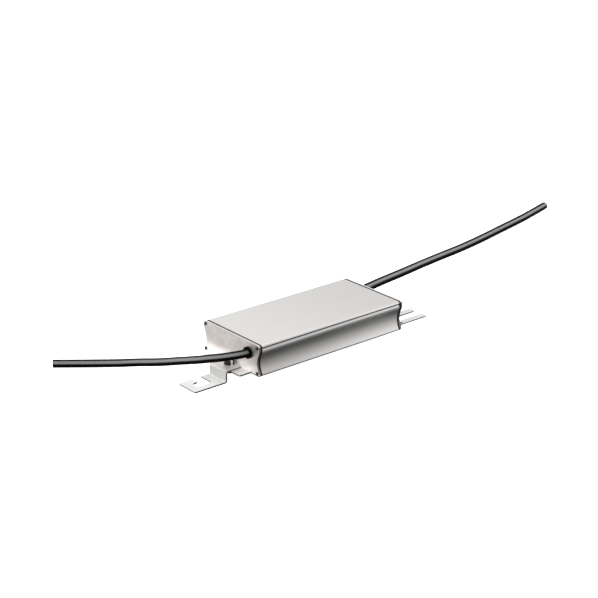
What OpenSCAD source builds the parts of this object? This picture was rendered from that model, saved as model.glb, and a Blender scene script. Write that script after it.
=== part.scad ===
// LED driver in an extruded aluminium housing, on two bent-sheet mounting brackets.
// Millimetres, +Z up. X runs along the housing, the front end plate is at -X.
// The origin is on the floor, under the middle of the feet.

/* [Housing] */
// Width over the two long sides
body_w = 85; // [70:1:120]
// Height of the housing section
body_h = 30.9; // [28:0.1:45]
// Length of the extrusion between the gaskets
housing_l = 173.2; // [170:0.1:260]
// Thickness of the floor and the roof
wall = 2.2; // [1.6:0.1:4]
// Thinnest wall, at the waist of the long sides
side_wall = 2.2; // [1.6:0.1:4]
// How far the waist of a long side is drawn in
waist_depth = 3.3; // [1:0.1:5]
// Radius of the hollow along a long side
waist_r = 19.2; // [15:0.1:40]
// Radius where the hollow turns out into the shoulder
shoulder_r = 8; // [3:0.5:12]
// Radius of the two top edges
top_r = 3; // [1.5:0.1:5]
// Radius of the two bottom edges
bottom_r = 1.3; // [0.5:0.1:3]
// Depth of the groove's root below the roof
groove_drop = 2.5; // [1.5:0.1:5]
// Depth of the groove
groove_d = 1.1; // [0.4:0.1:2]
// Height of the groove's sloping lower wall
groove_low = 2.8; // [0.6:0.1:4]
// Height of the groove's steep upper wall
groove_up = 0.75; // [0.3:0.05:1.5]

/* [End plates] */
// Thickness of an end plate
plate_t = 2; // [1.5:0.1:4]
// Thickness of a gasket
gasket_t = 1.9; // [0.5:0.1:3]
// Width of the mounting flange
flange_w = 60; // [40:1:80]
// Reach of the flange from the end plate's face
flange_l = 13.5; // [12:0.5:25]
// Thickness of the flange
flange_t = 1.5; // [1:0.1:3]
// Radius between the flange and the end plate
flange_r = 1.5; // [0.5:0.1:3]
// Offset of the flange's open slot and of the bracket from the middle
slot_off = 4.5; // [0:0.5:12]
// Distance of the bolt's axis from the flange's outer edge
slot_in = 7.5; // [4:0.5:8]

/* [Plate screws] */
// Diameter of a plate screw
screw_d = 2; // [2:0.5:4]
// Length of a plate screw under its head
screw_l = 12; // [8:1:20]
// Diameter of a plate screw's head
screw_head_d = 3.5; // [3.2:0.1:6]
// Height of a plate screw's head
screw_head_h = 1.3; // [1:0.1:3]
// Distance of a plate screw from the long side
screw_in = 3; // [2.5:0.1:6]
// Distance of a plate screw from the roof and from the bottom
screw_edge = 2.8; // [2.4:0.1:6]

/* [Cable glands] */
// Distance of a gland from the middle of its plate
gland_y = 26.5; // [10:0.5:28]
// Depth of a gland's axis under the housing's roof
gland_drop = 10.9; // [9.8:0.1:16]
// Diameter of a gland's collar
collar_d = 11.6; // [10:0.1:16]
// Height of a gland's collar
collar_h = 2.5; // [1.5:0.1:5]
// Diameter of a gland's threaded neck
neck_d = 10.2; // [9.8:0.1:14]
// Width across flats of a gland's lock nut
gland_nut_af = 13; // [12:0.5:16]
// Height of a gland's lock nut
gland_nut_h = 3; // [2:0.5:5]
// Diameter of the front cable
front_cable_d = 7.9; // [5:0.1:9.4]
// Diameter of the rear cable
rear_cable_d = 9; // [5:0.1:9.4]

/* [Brackets] */
// Thickness of the bracket sheet
sheet_t = 1.5; // [1:0.1:3]
// Width of a bracket
bracket_w = 25.5; // [24:0.5:40]
// Height of the housing's bottom over the floor
lift = 9.3; // [8:0.1:30]
// Distance of a riser's outer face from the end plate's face
riser_out = 19.7; // [18:0.1:30]
// Inner radius of the bends
bend_r = 1; // [0.5:0.1:3]
// Reach of the front foot from the riser
front_foot_l = 36; // [32:0.5:60]
// Reach of the rear fork from the riser
rear_foot_l = 41.1; // [32:0.1:70]
// Width of the stud slot in the front foot
stud_slot_w = 9; // [6:0.5:12]
// Distance of the stud's seat from the riser
stud_seat = 23; // [22:0.5:26]
// Width of the front foot's side entry
entry_w = 10.3; // [7:0.1:12]
// Distance of the side entry's middle from the riser
entry_out = 15.3; // [12:0.1:17]
// Gap between the prongs of the rear fork
fork_gap = 10; // [6:0.5:12]
// Distance of the fork's root from the riser
fork_root = 8; // [8:0.5:18]

/* [Bracket bolts] */
// Diameter of a bracket bolt
bolt_d = 6; // [4:1:8]
// Diameter of a bracket bolt's head
bolt_head_d = 10; // [8:0.5:12]
// Height of a bracket bolt's head
bolt_head_h = 5; // [3:0.5:8]
// Width across flats of a bracket nut
nut_af = 10; // [8:0.5:13]
// Height of a bracket nut
nut_h = 5; // [3:0.5:6]

/* [Circuit board] */
// Thickness of the circuit board
board_t = 1.6; // [1:0.2:2.4]
// Height of the board slots over the cavity's floor
board_rise = 3.4; // [2:0.1:6]
// Depth of the board slots
board_slot_d = 0.9; // [0.5:0.1:1.2]
// Distance from the board's ends to the ends of the extrusion
board_end = 2; // [1:0.5:6]
// Thickness of the insulating sheet
sheet_insul = 0.4; // [0.2:0.1:1]
// Diameter of the bulk capacitor
bulk_d = 16; // [10:0.5:18]
// Length of the bulk capacitor
bulk_l = 31; // [20:1:40]
// Diameter of an output capacitor
out_cap_d = 10; // [6:0.5:12]
// Height of an output capacitor
out_cap_h = 16; // [8:0.5:18]
// Length of the transformer's core
core_l = 28; // [20:1:34]
// Width of the transformer's core
core_w = 32; // [24:1:36]
// Thickness of the transformer's core
core_t = 9; // [6:0.5:10]

/* [Hidden] */
$fn = 64;
// clearances
thread_gap = 0.05;
hole_gap = 0.3;
board_gap = 0.2;
sheath_gap = 0.1;
wind_gap = 0.1;
eps = 0.5;
// tangent arcs run this far into each other, so that they cross instead of only touching
blend = 0.005;

// section of the housing: centres of its tangent arcs
half = body_w / 2;
waist_u = half - waist_depth + waist_r;
low_c = [half - bottom_r, bottom_r];
waist_v = bottom_r + sqrt(pow(waist_r + bottom_r - blend, 2) - pow(waist_u - low_c[0], 2));
waist_c = [waist_u, waist_v];
shoulder_u = half - shoulder_r;
shoulder_v = waist_v + sqrt(pow(waist_r + shoulder_r - blend, 2) - pow(waist_u - shoulder_u, 2));
shoulder_c = [shoulder_u, shoulder_v];
cav_half = half - waist_depth - side_wall;
cav_h = body_h - 2 * wall;

// stations along X, from the middle of the housing
end_x = housing_l / 2;
plate_in = end_x + gasket_t;
face_x = plate_in + plate_t;
flange_end = face_x + flange_l;
bolt_x = flange_end - slot_in;
riser_x = face_x + riser_out;
front_reach = riser_x + front_foot_l;
rear_reach = riser_x + rear_foot_l;
body_x = (front_reach - rear_reach) / 2;
// height of a bracket's top over the floor; its tab lies on the flange, clear of the flange's fillet
step_h = lift + flange_t + sheet_t;
tab_gap = 0.3;
tab_in = flange_r + tab_gap;
collar_x = face_x + collar_h;

// bolts, screws and glands
bolt_hole_d = bolt_d + 2 * hole_gap;
bolt_past = 1;
screw_y = half - screw_in;
screw_z = [screw_edge, body_h - screw_edge];
gland_z = body_h - gland_drop;
gland_hole_d = neck_d + 2 * hole_gap;
gland_in = plate_in - gland_nut_h;
neck_l = collar_x - gland_in;

// circuit board and what stands on it
board_z = wall + board_rise;
board_top = board_z + board_t;
board_w = 2 * (cav_half + board_slot_d - board_gap);
board_l = housing_l - 2 * board_end;
wire_in = 9;
wire_x = end_x - wire_in;
// rows of pieces along the board's two long sides, this far in from its edges
plus_in = 19.7;
minus_in = 21.7;
plus_row = board_w / 2 - plus_in;
minus_row = minus_in - board_w / 2;

// outline of the prongs
prong_w = (bracket_w - fork_gap) / 2;

// cable routes from the collar's face to the cut end: x and y from the middle of
// the housing, z over the floor
front_r = front_cable_d / 2;
rear_r = rear_cable_d / 2;
front_route = [
    [-collar_x, -gland_y, lift + gland_z], [-100, -26, 29.5], [-107, -22.5, 28.8], [-114, -16.5, 27.3],
    [-121, -8, 25.2], [-128, 3, 22.2], [-136, 19, 18], [-145, 39, 12.5], [-154, 59, 8],
    [-159.6, 68.2, 6.1], [-166.3, 76, 4.9], [-180.1, 89.1, 4.1], [-194.7, 101, front_r],
    [-209.6, 113, front_r], [-214.6, 116.9, front_r]
];
rear_route = [
    [collar_x, gland_y, lift + gland_z], [101, 27, 29], [110, 29.5, 28.5], [134, 37, 26.5],
    [175, 50.5, 22], [198, 58.6, 19.3], [221, 67, 16.5], [269, 84, 10.5], [314.4, 98, 5.8],
    [357.5, 107.8, 4.6], [400.4, 117.4, rear_r], [448.1, 128.1, rear_r], [473, 134.6, rear_r],
    [499.9, 142.2, rear_r], [508.8, 144.7, rear_r]
];

// places and helpers

module on_floor() { translate([body_x, 0, 0]) children(); }
module on_body() { translate([body_x, 0, lift]) children(); }
// children are drawn for the front end; the rear end is the same turned half round
module at_end(rear) { rotate([0, 0, rear ? 180 : 0]) children(); }
// a section drawn in (y, z), drawn out along X from x0
module along_x(x0, l) { translate([x0, 0, 0]) rotate([90, 0, 90]) linear_extrude(l) children(); }
module rod_x(d, x0, x1) { translate([x0, 0, 0]) rotate([0, 90, 0]) cylinder(d = d, h = x1 - x0); }
module box_on(l, w, h) { translate([-l / 2, -w / 2, 0]) cube([l, w, h]); }
module on_board(x, y) { on_body() translate([x, y, board_top]) children(); }
module both_sides() { children(); mirror([1, 0]) children(); }

module rounded(w, h, r) {
    translate([-w / 2 + r, -h / 2]) square([w - 2 * r, h]);
    translate([-w / 2, -h / 2 + r]) square([w, h - 2 * r]);
    for (u = [-1, 1], v = [-1, 1]) translate([u * (w / 2 - r), v * (h / 2 - r)]) circle(r);
}

// housing section

module outline_half() {
    difference() {
        polygon([[0, 0], [low_c[0], 0], low_c, waist_c, shoulder_c, [shoulder_u, body_h], [0, body_h]]);
        translate(waist_c) circle(waist_r);
    }
    translate(low_c) circle(bottom_r);
    intersection() {
        translate(shoulder_c) circle(shoulder_r);
        polygon([[shoulder_u - eps, 0], [half + eps, 0], [half + eps, shoulder_v + eps],
                 [shoulder_u - eps, shoulder_v + eps]]);
    }
    polygon([[shoulder_u - eps, shoulder_v], [half, shoulder_v], [half, body_h - top_r],
             [half - top_r, body_h - top_r], [half - top_r, body_h], [shoulder_u - eps, body_h]]);
    translate([half - top_r, body_h - top_r]) circle(top_r);
}

module outline() { both_sides() outline_half(); }

module grooves() {
    past = (groove_d + eps) / groove_d;
    both_sides() translate([half, body_h - groove_drop])
        polygon([[-groove_d, 0], [eps, -groove_low * past], [eps, groove_up * past]]);
}

module cavity() {
    translate([0, body_h / 2]) rounded(2 * cav_half, cav_h, 1.5);
}

module board_slots() {
    slot_w = 2 * (cav_half + board_slot_d);
    translate([-slot_w / 2, board_z]) square([slot_w, board_t + board_gap]);
}

module screw_places() {
    for (s = [-1, 1], z = screw_z) translate([0, s * screw_y, z]) children();
}

module housing() {
    color("Gainsboro") on_body() difference() {
        along_x(-end_x, housing_l) difference() {
            outline();
            grooves();
            cavity();
            board_slots();
        }
        for (rear = [false, true]) at_end(rear) screw_places()
            rod_x(screw_d + 2 * thread_gap, -end_x - eps, -end_x + screw_l);
    }
}

// ends of the housing

module gasket(rear) {
    color("#202020") on_body() at_end(rear) difference() {
        along_x(-plate_in, gasket_t) difference() {
            outline();
            cavity();
        }
        screw_places() rod_x(screw_d + 2 * hole_gap, -plate_in - eps, -end_x + eps);
    }
}

// across the flange, both brackets are on the same side of the part
function slot_y(rear) = rear ? slot_off : -slot_off;

module flange_plan(rear) {
    difference() {
        translate([-flange_end + flange_l, 0]) rounded(2 * flange_l, flange_w, 1.5);
        translate([-face_x, -flange_w / 2 - eps]) square([2 * flange_l, flange_w + 2 * eps]);
        translate([-bolt_x, slot_y(rear)]) circle(d = bolt_hole_d);
        translate([-bolt_x - 2 * slot_in, slot_y(rear) - bolt_hole_d / 2])
            square([2 * slot_in, bolt_hole_d]);
    }
}

module flange_fillet() {
    translate([-face_x, flange_w / 2, flange_t]) rotate([90, 0, 0]) linear_extrude(flange_w) difference() {
        translate([-flange_r, -eps]) square([flange_r + eps, flange_r + eps]);
        translate([-flange_r, flange_r]) circle(flange_r);
    }
}

module end_plate(rear) {
    color("LightGray") on_body() at_end(rear) {
        difference() {
            along_x(-face_x, plate_t) outline();
            translate([0, -gland_y, gland_z]) rod_x(gland_hole_d, -face_x - eps, -plate_in + eps);
            screw_places() rod_x(screw_d + 2 * hole_gap, -face_x - eps, -plate_in + eps);
        }
        linear_extrude(flange_t) flange_plan(rear);
        translate([-face_x, -flange_w / 2, 0]) cube([eps, flange_w, flange_t]);
        flange_fillet();
    }
}

module plate_screw() {
    dome_r = screw_head_d;
    difference() {
        union() {
            rod_x(screw_d, -face_x, -face_x + screw_l);
            translate([-face_x, 0, 0]) rotate([0, -90, 0]) rotate_extrude() intersection() {
                square([screw_head_d / 2, screw_head_h]);
                translate([0, screw_head_h - dome_r]) circle(dome_r);
            }
        }
        for (a = [0, 90]) rotate([a, 0, 0]) translate([-face_x - screw_head_h, 0, 0])
            cube([screw_head_h, 0.13 * screw_head_d, 0.55 * screw_head_d], center = true);
    }
}

module plate_screws(rear) { color("#303030") on_body() at_end(rear) screw_places() plate_screw(); }

// cable entries

module gland_place(rear) { on_body() at_end(rear) translate([0, -gland_y, gland_z]) children(); }

module gland(rear, cable_d) {
    bore = cable_d / 2 + sheath_gap;
    edge = 0.5;
    color("#1c1c1c") gland_place(rear) translate([-gland_in, 0, 0]) rotate([0, -90, 0]) rotate_extrude() {
        translate([bore, 0]) square([neck_d / 2 - bore, neck_l]);
        translate([bore, neck_l - collar_h]) square([collar_d / 2 - bore, collar_h - edge]);
        translate([bore, neck_l - collar_h]) square([collar_d / 2 - edge - bore, collar_h]);
        translate([collar_d / 2 - edge, neck_l - edge]) circle(edge);
    }
}

module gland_nut(rear) {
    color("#2a2a2a") gland_place(rear) translate([-plate_in, 0, 0]) rotate([0, 90, 0]) difference() {
        cylinder(d = gland_nut_af / cos(30), h = gland_nut_h, $fn = 6);
        translate([0, 0, -eps]) cylinder(d = neck_d + 2 * thread_gap, h = gland_nut_h + 2 * eps);
    }
}

// one core: out of the sheath, round a quarter bend and down to the board
module lead_core(d, y) {
    bend = 4;
    sheath_x = end_x - 6;
    translate([0, y, 0]) {
        rod_x(d, -sheath_x - eps, -wire_x);
        translate([-wire_x, 0, -bend]) rotate([90, 0, 0]) rotate_extrude(angle = 90)
            translate([bend, 0]) circle(d = d);
        translate([-wire_x + bend, 0, board_top - gland_z]) cylinder(d = d, h = gland_z - board_top - bend);
    }
}

module leads(rear, cable_d, core_d, cores) {
    pitch = core_d + 0.4;
    color("#262626") gland_place(rear) {
        rod_x(cable_d, -collar_x, -end_x + 6);
        for (i = [0 : cores - 1]) lead_core(core_d, (i - (cores - 1) / 2) * pitch);
    }
}

// mounting brackets

module bend(quadrant) {
    turn = [[0, 0], [-1, -1]][quadrant];
    outer = bend_r + sheet_t;
    intersection() {
        difference() {
            circle(outer);
            circle(bend_r);
        }
        translate(turn * outer) square(outer);
    }
}

// Z section in (outward, up), from the tab on the flange to the tip of the foot
module bracket_section(foot_l) {
    outer = bend_r + sheet_t;
    translate([face_x + tab_in, step_h - sheet_t]) square([riser_out - outer - tab_in, sheet_t]);
    translate([riser_x - outer, step_h - outer]) bend(0);
    translate([riser_x - sheet_t, outer]) square([sheet_t, step_h - 2 * outer]);
    translate([riser_x + bend_r, outer]) bend(1);
    translate([riser_x + bend_r, 0]) square([foot_l - bend_r, sheet_t]);
}

module bracket_blank(foot_l) {
    difference() {
        translate([0, bracket_w / 2, 0]) rotate([90, 0, 0]) mirror([1, 0, 0]) linear_extrude(bracket_w)
            bracket_section(foot_l);
        translate([-bolt_x, 0, step_h - 2 * sheet_t]) cylinder(d = bolt_hole_d, h = 3 * sheet_t);
    }
}

// rounds the two outer corners of a foot, in plan
module corner_cut(tip, r) {
    both_sides() translate([bracket_w / 2 - r, tip - r]) difference() {
        square(r + eps);
        circle(r);
    }
}

module front_bracket() {
    seat = riser_x + stud_seat;
    entry = riser_x + entry_out;
    color("WhiteSmoke") on_floor() translate([0, -slot_off, 0]) difference() {
        bracket_blank(front_foot_l);
        rotate([0, 0, 90]) translate([0, 0, -eps]) linear_extrude(sheet_t + 2 * eps) {
            translate([0, seat]) circle(d = stud_slot_w);
            translate([-stud_slot_w / 2, entry]) square([stud_slot_w, seat - entry]);
            translate([-stud_slot_w / 2 + entry_w / 4, entry - entry_w / 2]) square([bracket_w, entry_w]);
            translate([-stud_slot_w / 2 + entry_w / 4, entry - entry_w / 4]) circle(entry_w / 4);
            translate([-stud_slot_w / 2, entry - entry_w / 4]) square([stud_slot_w, entry_w / 4]);
            corner_cut(riser_x + front_foot_l, 1.2);
        }
    }
}

module rear_bracket() {
    root = riser_x + fork_root;
    color("WhiteSmoke") on_floor() translate([0, -slot_off, 0]) rotate([0, 0, 180]) difference() {
        bracket_blank(rear_foot_l);
        rotate([0, 0, 90]) translate([0, 0, -eps]) linear_extrude(sheet_t + 2 * eps) {
            translate([0, root]) circle(d = fork_gap);
            translate([-fork_gap / 2, root]) square([fork_gap, rear_foot_l]);
            corner_cut(riser_x + rear_foot_l, prong_w / 2);
            both_sides() translate([fork_gap / 2 + prong_w / 2, riser_x + rear_foot_l - prong_w / 2])
                difference() {
                    translate([-prong_w / 2 - eps, 0]) square([prong_w / 2 + eps, prong_w / 2 + eps]);
                    circle(d = prong_w);
                }
        }
    }
}

module bolt_place(rear) { on_body() at_end(rear) translate([-bolt_x, slot_y(rear), 0]) children(); }

module bracket_bolt(rear) {
    edge = 0.6;
    color("Silver") bolt_place(rear) difference() {
        union() {
            translate([0, 0, -nut_h - bolt_past])
                cylinder(d = bolt_d, h = flange_t + sheet_t + nut_h + bolt_past);
            translate([0, 0, flange_t + sheet_t]) rotate_extrude() {
                square([bolt_head_d / 2, bolt_head_h - edge]);
                square([bolt_head_d / 2 - edge, bolt_head_h]);
                translate([bolt_head_d / 2 - edge, bolt_head_h - edge]) circle(edge);
            }
        }
        translate([0, 0, flange_t + sheet_t + bolt_head_h / 2])
            cylinder(d = bolt_d - 0.5, h = bolt_head_h, $fn = 6);
    }
}

module bracket_nut(rear) {
    color("Silver") bolt_place(rear) translate([0, 0, -nut_h]) difference() {
        cylinder(d = nut_af / cos(30), h = nut_h, $fn = 6);
        translate([0, 0, -eps]) cylinder(d = bolt_d + 2 * thread_gap, h = nut_h + 2 * eps);
    }
}

// cables: a ring of points swept along a smooth curve through the route

function hermite(a, b, ta, tb, t) =
    (2 * pow(t, 3) - 3 * pow(t, 2) + 1) * a + (pow(t, 3) - 2 * pow(t, 2) + t) * ta
    + (3 * pow(t, 2) - 2 * pow(t, 3)) * b + (pow(t, 3) - pow(t, 2)) * tb;
function tangent(p, i, s) =
    let (a = p[max(i - 1, 0)], b = p[min(i + 1, len(p) - 1)], l = norm(b - a))
    (b - a) / l * s;
function leg(p, i, t) =
    let (s = norm(p[i + 1] - p[i]), first = i == 0 ? [sign(p[0][0]) * s, 0, 0] : tangent(p, i, s))
    hermite(p[i], p[i + 1], first, tangent(p, i + 1, s), t);
function steps(p, i, pitch) = max(1, ceil(norm(p[i + 1] - p[i]) / pitch));
function path(p, pitch) = concat(
    [for (i = [0 : len(p) - 2], k = [0 : steps(p, i, pitch) - 1]) leg(p, i, k / steps(p, i, pitch))],
    [p[len(p) - 1]]);
function heading(q, i) =
    i == 0 ? [sign(q[0][0]), 0, 0]
    : let (d = q[min(i + 1, len(q) - 1)] - q[i - 1]) d / norm(d);
function ring(q, i, r, n) =
    let (t = heading(q, i), s = cross(t, [0, 0, 1]), side = s / norm(s), up = cross(side, t))
    [for (k = [0 : n - 1]) q[i] + r * (cos(360 * k / n) * side + sin(360 * k / n) * up)];

module swept(route, d) {
    n = 12;
    q = path(route, 2.4 * d);
    last = len(q) - 1;
    points = [for (i = [0 : last]) each ring(q, i, d / 2, n)];
    start = [for (k = [0 : n - 1]) k];
    finish = [for (k = [n - 1 : -1 : 0]) last * n + k];
    walls = [for (i = [0 : last - 1], k = [0 : n - 1])
        [i * n + k, (i + 1) * n + k, (i + 1) * n + (k + 1) % n, i * n + (k + 1) % n]];
    polyhedron(points, concat([start, finish], walls));
}

module front_cable() { color("#181818") on_floor() swept(front_route, front_cable_d); }
module rear_cable() { color("#181818") on_floor() swept(rear_route, rear_cable_d); }

// circuit board and its parts

module circuit_board() {
    color("DarkGreen") on_body() translate([0, 0, board_z]) box_on(board_l, board_w, board_t);
}

sheet_edge = 2;

module insulating_sheet() {
    color("Ivory") on_body() translate([0, 0, wall])
        box_on(board_l, 2 * (cav_half - sheet_edge), sheet_insul);
}

// transformer: a core of two E halves with the winding round its middle leg
core_x = 22;
core_y = 4;
core_mid = 10;
leg_w = 8;
window_w = 7;
yoke_w = 5;
window_l = core_l - 2 * yoke_w;
wind_t = 4;
wind_r = 2;
base_in = 3;

module transformer_core() {
    color("#3a3a3e") on_board(core_x, core_y) translate([0, 0, core_mid - core_t / 2])
        linear_extrude(core_t) difference() {
            square([core_l, core_w], center = true);
            for (s = [-1, 1]) translate([0, s * (leg_w + window_w) / 2])
                square([window_l, window_w], center = true);
        }
}

module transformer_winding() {
    outer_w = leg_w + 2 * window_w - 2 * wind_gap;
    color("#c9952c") on_board(core_x, core_y) along_x(-window_l / 2 + wind_gap, window_l - 2 * wind_gap)
        translate([0, core_mid]) difference() {
            rounded(outer_w, core_t + 2 * wind_t, wind_r);
            square([leg_w + 2 * wind_gap, core_t + 2 * wind_gap], center = true);
        }
}

module transformer_base() {
    color("#222222") for (s = [-1, 1]) on_board(core_x + s * (core_l - yoke_w) / 2, core_y)
        box_on(yoke_w, core_w - 2 * base_in, core_mid - core_t / 2);
}

// input filter choke: a flat toroid with two windings on a plastic base
choke_x = -56;
choke_y = plus_row - 1;
choke_base_t = 2;
choke_base_w = 24;
toroid = [11, 20, 8];
wire_t = 1.2;

module filter_choke_base() {
    color("#e8e4da") on_board(choke_x, choke_y) linear_extrude(choke_base_t)
        rounded(choke_base_w, choke_base_w, 2);
}

module filter_choke_core() {
    color("#2f5f3a") on_board(choke_x, choke_y) translate([0, 0, choke_base_t + wire_t]) difference() {
        cylinder(d = toroid[1], h = toroid[2]);
        translate([0, 0, -eps]) cylinder(d = toroid[0], h = toroid[2] + 2 * eps);
    }
}

module filter_choke_windings() {
    mid_r = (toroid[0] + toroid[1]) / 4;
    band = (toroid[1] - toroid[0]) / 2;
    color("#b5652a") on_board(choke_x, choke_y)
        translate([0, 0, choke_base_t + wire_t + toroid[2] / 2]) for (s = [0, 180])
            rotate([0, 0, s - 50]) rotate_extrude(angle = 100) translate([mid_r, 0]) difference() {
                rounded(band + 2 * wire_t, toroid[2] + 2 * wire_t, 1);
                square([band + 2 * wind_gap, toroid[2] + 2 * wind_gap], center = true);
            }
}

// boost choke: a drum of wire between two ferrite plates
pfc_x = -30;
pfc_y = minus_row;
pfc_plate_w = 23;
pfc_plate_t = 3;
pfc_pin_d = 9;
pfc_wind_d = 19;
pfc_drum_h = 11;

module pfc_choke_core() {
    color("#3a3a3e") on_board(pfc_x, pfc_y) {
        linear_extrude(pfc_plate_t) rounded(pfc_plate_w, pfc_plate_w, 3);
        cylinder(d = pfc_pin_d, h = 2 * pfc_plate_t + pfc_drum_h);
        translate([0, 0, pfc_plate_t + pfc_drum_h]) linear_extrude(pfc_plate_t)
            rounded(pfc_plate_w, pfc_plate_w, 3);
    }
}

module pfc_choke_winding() {
    color("#b5652a") on_board(pfc_x, pfc_y) translate([0, 0, pfc_plate_t]) difference() {
        cylinder(d = pfc_wind_d, h = pfc_drum_h);
        translate([0, 0, -eps]) cylinder(d = pfc_pin_d + 2 * wind_gap, h = pfc_drum_h + 2 * eps);
    }
}

// can with a crimped neck near its lead end, axis up
module can(d, h) {
    difference() {
        cylinder(d = d, h = h);
        translate([0, 0, 2.5]) rotate_extrude() translate([d / 2 + 0.4, 0]) circle(1);
    }
}

bulk_x = -14;

module bulk_capacitor() {
    color("#1b2440") on_board(bulk_x, plus_row + 2) translate([-bulk_l / 2, 0, bulk_d / 2])
        rotate([0, 90, 0]) can(bulk_d, bulk_l);
}

out_cap_x = 62;
out_cap_y = 6;

module output_capacitors() {
    pitch = out_cap_d + 1.5;
    color("#1b2440") for (i = [-1 : 1]) on_board(out_cap_x, out_cap_y + i * pitch)
        can(out_cap_d, out_cap_h);
}

film = [17.5, 8.5, 14.5];
film_r = 0.6;
film_out = 6;

module film_capacitor() {
    color("#d9c64a") on_board(choke_x, minus_row + film_out) linear_extrude(film[2])
        rounded(film[0], film[1], film_r);
}

inlet_x = -73;
fuse_d = 8.4;
fuse_h = 7.7;

module fuse() { color("#5a3b28") on_board(inlet_x - 1, plus_row - 6) cylinder(d = fuse_d, h = fuse_h); }

varistor_d = 13;
varistor_t = 4.4;
varistor_pitch = 7.4;
varistor_rise = 1;

module varistor() {
    color("#2c5aa0") on_board(inlet_x + 1, minus_row + 8) {
        translate([-varistor_t / 2, 0, varistor_d / 2 + varistor_rise]) rotate([0, 90, 0])
            cylinder(d = varistor_d, h = varistor_t);
        for (s = [-1, 1]) translate([0, s * varistor_pitch / 2, 0]) cylinder(d = 0.8, h = 4);
    }
}

bridge_x = -37;
bridge = [20, 3.6, 11];
bridge_rise = 3;
bridge_pitch = 5;
bridge_lead_d = 1;

module bridge_rectifier() {
    color("#202124") on_board(bridge_x, plus_row) rotate([0, 0, 90]) {
        translate([0, 0, bridge_rise]) box_on(bridge[0], bridge[1], bridge[2]);
        for (i = [0 : 3]) translate([(i - 1.5) * bridge_pitch, 0, 0])
            cylinder(d = bridge_lead_d, h = bridge_rise + eps);
    }
}

// power devices clamped to a bar that passes their heat to the side wall
pad_t = 0.8;
bar_t = 3;
bar_h = 17;
bar_l = 66;
bar_x = 24;
device_y = -cav_half + pad_t + bar_t;

module thermal_pad() {
    color("#b9a7c9") on_body() translate([bar_x - bar_l / 2, -cav_half, board_top])
        cube([bar_l, pad_t, bar_h]);
}

module heat_spreader() {
    color("#bfc3c7") on_body() translate([bar_x - bar_l / 2, -cav_half + pad_t, board_top])
        cube([bar_l, bar_t, bar_h]);
}

// one device: moulded body and metal tab on three leads
device = [10, 4.4, 9];
device_tab = [10, 1.3, 12.5];
device_rise = 4;
device_pitch = bar_l / 3;
lead_pitch = 2.54;
lead_w = 0.8;

module power_device() {
    translate([-device[0] / 2, 0, device_rise]) cube(device);
    translate([-device_tab[0] / 2, 0, device_rise]) cube(device_tab);
    for (i = [-1 : 1]) translate([i * lead_pitch - lead_w / 2, device[1] / 2 - 0.2, 0])
        cube([lead_w, 0.6, device_rise + eps]);
}

module power_devices() {
    color("#1d1d1f") for (i = [-1 : 1]) on_board(bar_x + i * device_pitch, device_y) power_device();
}

// control chip, sense chip and coupler
control_chip = [10, 4, 1.6];
sense_chip = [5, 4, 1.6];
coupler = [6.5, 4.6, 3.5];
control_x = -6;
sense_x = 46;
sense_out = 2;
coupler_out = 8;

module control_chips() {
    color("#1d1d1f") {
        on_board(control_x, -control_chip[1] / 2) box_on(control_chip[0], control_chip[1], control_chip[2]);
        on_board(sense_x, minus_row + sense_out) box_on(sense_chip[0], sense_chip[1], sense_chip[2]);
        on_board(sense_x, plus_row + coupler_out) box_on(coupler[0], coupler[1], coupler[2]);
    }
}

housing();
gasket(false);  // front_gasket
gasket(true);  // rear_gasket
end_plate(false);  // front_end_plate
end_plate(true);  // rear_end_plate
plate_screws(false);  // front_plate_screws
plate_screws(true);  // rear_plate_screws
gland(false, front_cable_d);  // front_gland
gland(true, rear_cable_d);  // rear_gland
gland_nut(false);  // front_gland_nut
gland_nut(true);  // rear_gland_nut
leads(false, front_cable_d, 2, 3);  // front_leads
leads(true, rear_cable_d, 2.6, 2);  // rear_leads
front_bracket();
rear_bracket();
bracket_bolt(false);  // front_bracket_bolt
bracket_bolt(true);  // rear_bracket_bolt
bracket_nut(false);  // front_bracket_nut
bracket_nut(true);  // rear_bracket_nut
front_cable();
rear_cable();
circuit_board();
insulating_sheet();
transformer_core();
transformer_winding();
transformer_base();
filter_choke_core();
filter_choke_windings();
filter_choke_base();
pfc_choke_core();
pfc_choke_winding();
bulk_capacitor();
film_capacitor();
output_capacitors();
fuse();
varistor();
bridge_rectifier();
thermal_pad();
heat_spreader();
power_devices();
control_chips();
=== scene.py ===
from math import cos, pi, radians, sin, tau

import bmesh
import bpy
from mathutils import Matrix, Vector


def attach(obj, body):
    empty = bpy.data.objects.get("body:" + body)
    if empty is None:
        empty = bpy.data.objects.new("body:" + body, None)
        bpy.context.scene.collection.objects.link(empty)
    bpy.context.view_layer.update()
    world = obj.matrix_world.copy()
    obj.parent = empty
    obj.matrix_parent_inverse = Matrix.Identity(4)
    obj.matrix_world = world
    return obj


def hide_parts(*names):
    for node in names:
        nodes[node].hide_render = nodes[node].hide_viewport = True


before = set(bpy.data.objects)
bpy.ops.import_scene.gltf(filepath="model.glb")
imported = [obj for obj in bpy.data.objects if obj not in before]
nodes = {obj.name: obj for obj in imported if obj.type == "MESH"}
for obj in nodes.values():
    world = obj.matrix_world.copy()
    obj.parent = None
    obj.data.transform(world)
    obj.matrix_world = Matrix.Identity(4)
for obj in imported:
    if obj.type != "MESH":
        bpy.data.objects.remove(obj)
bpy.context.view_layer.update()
scene = bpy.context.scene
MM = 0.001


# Camera, at the photograph's viewing angle

VIEW_TURN = radians(-40.077)
VIEW_RISE = radians(21.4521)
VIEW_ROLL = radians(0.2143)
CAMERA_AT = Vector((-949.5, -1117.0, 627.3)) * MM
SENSOR = 36
LENS = 97.73
NEAREST = 0.01


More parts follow.
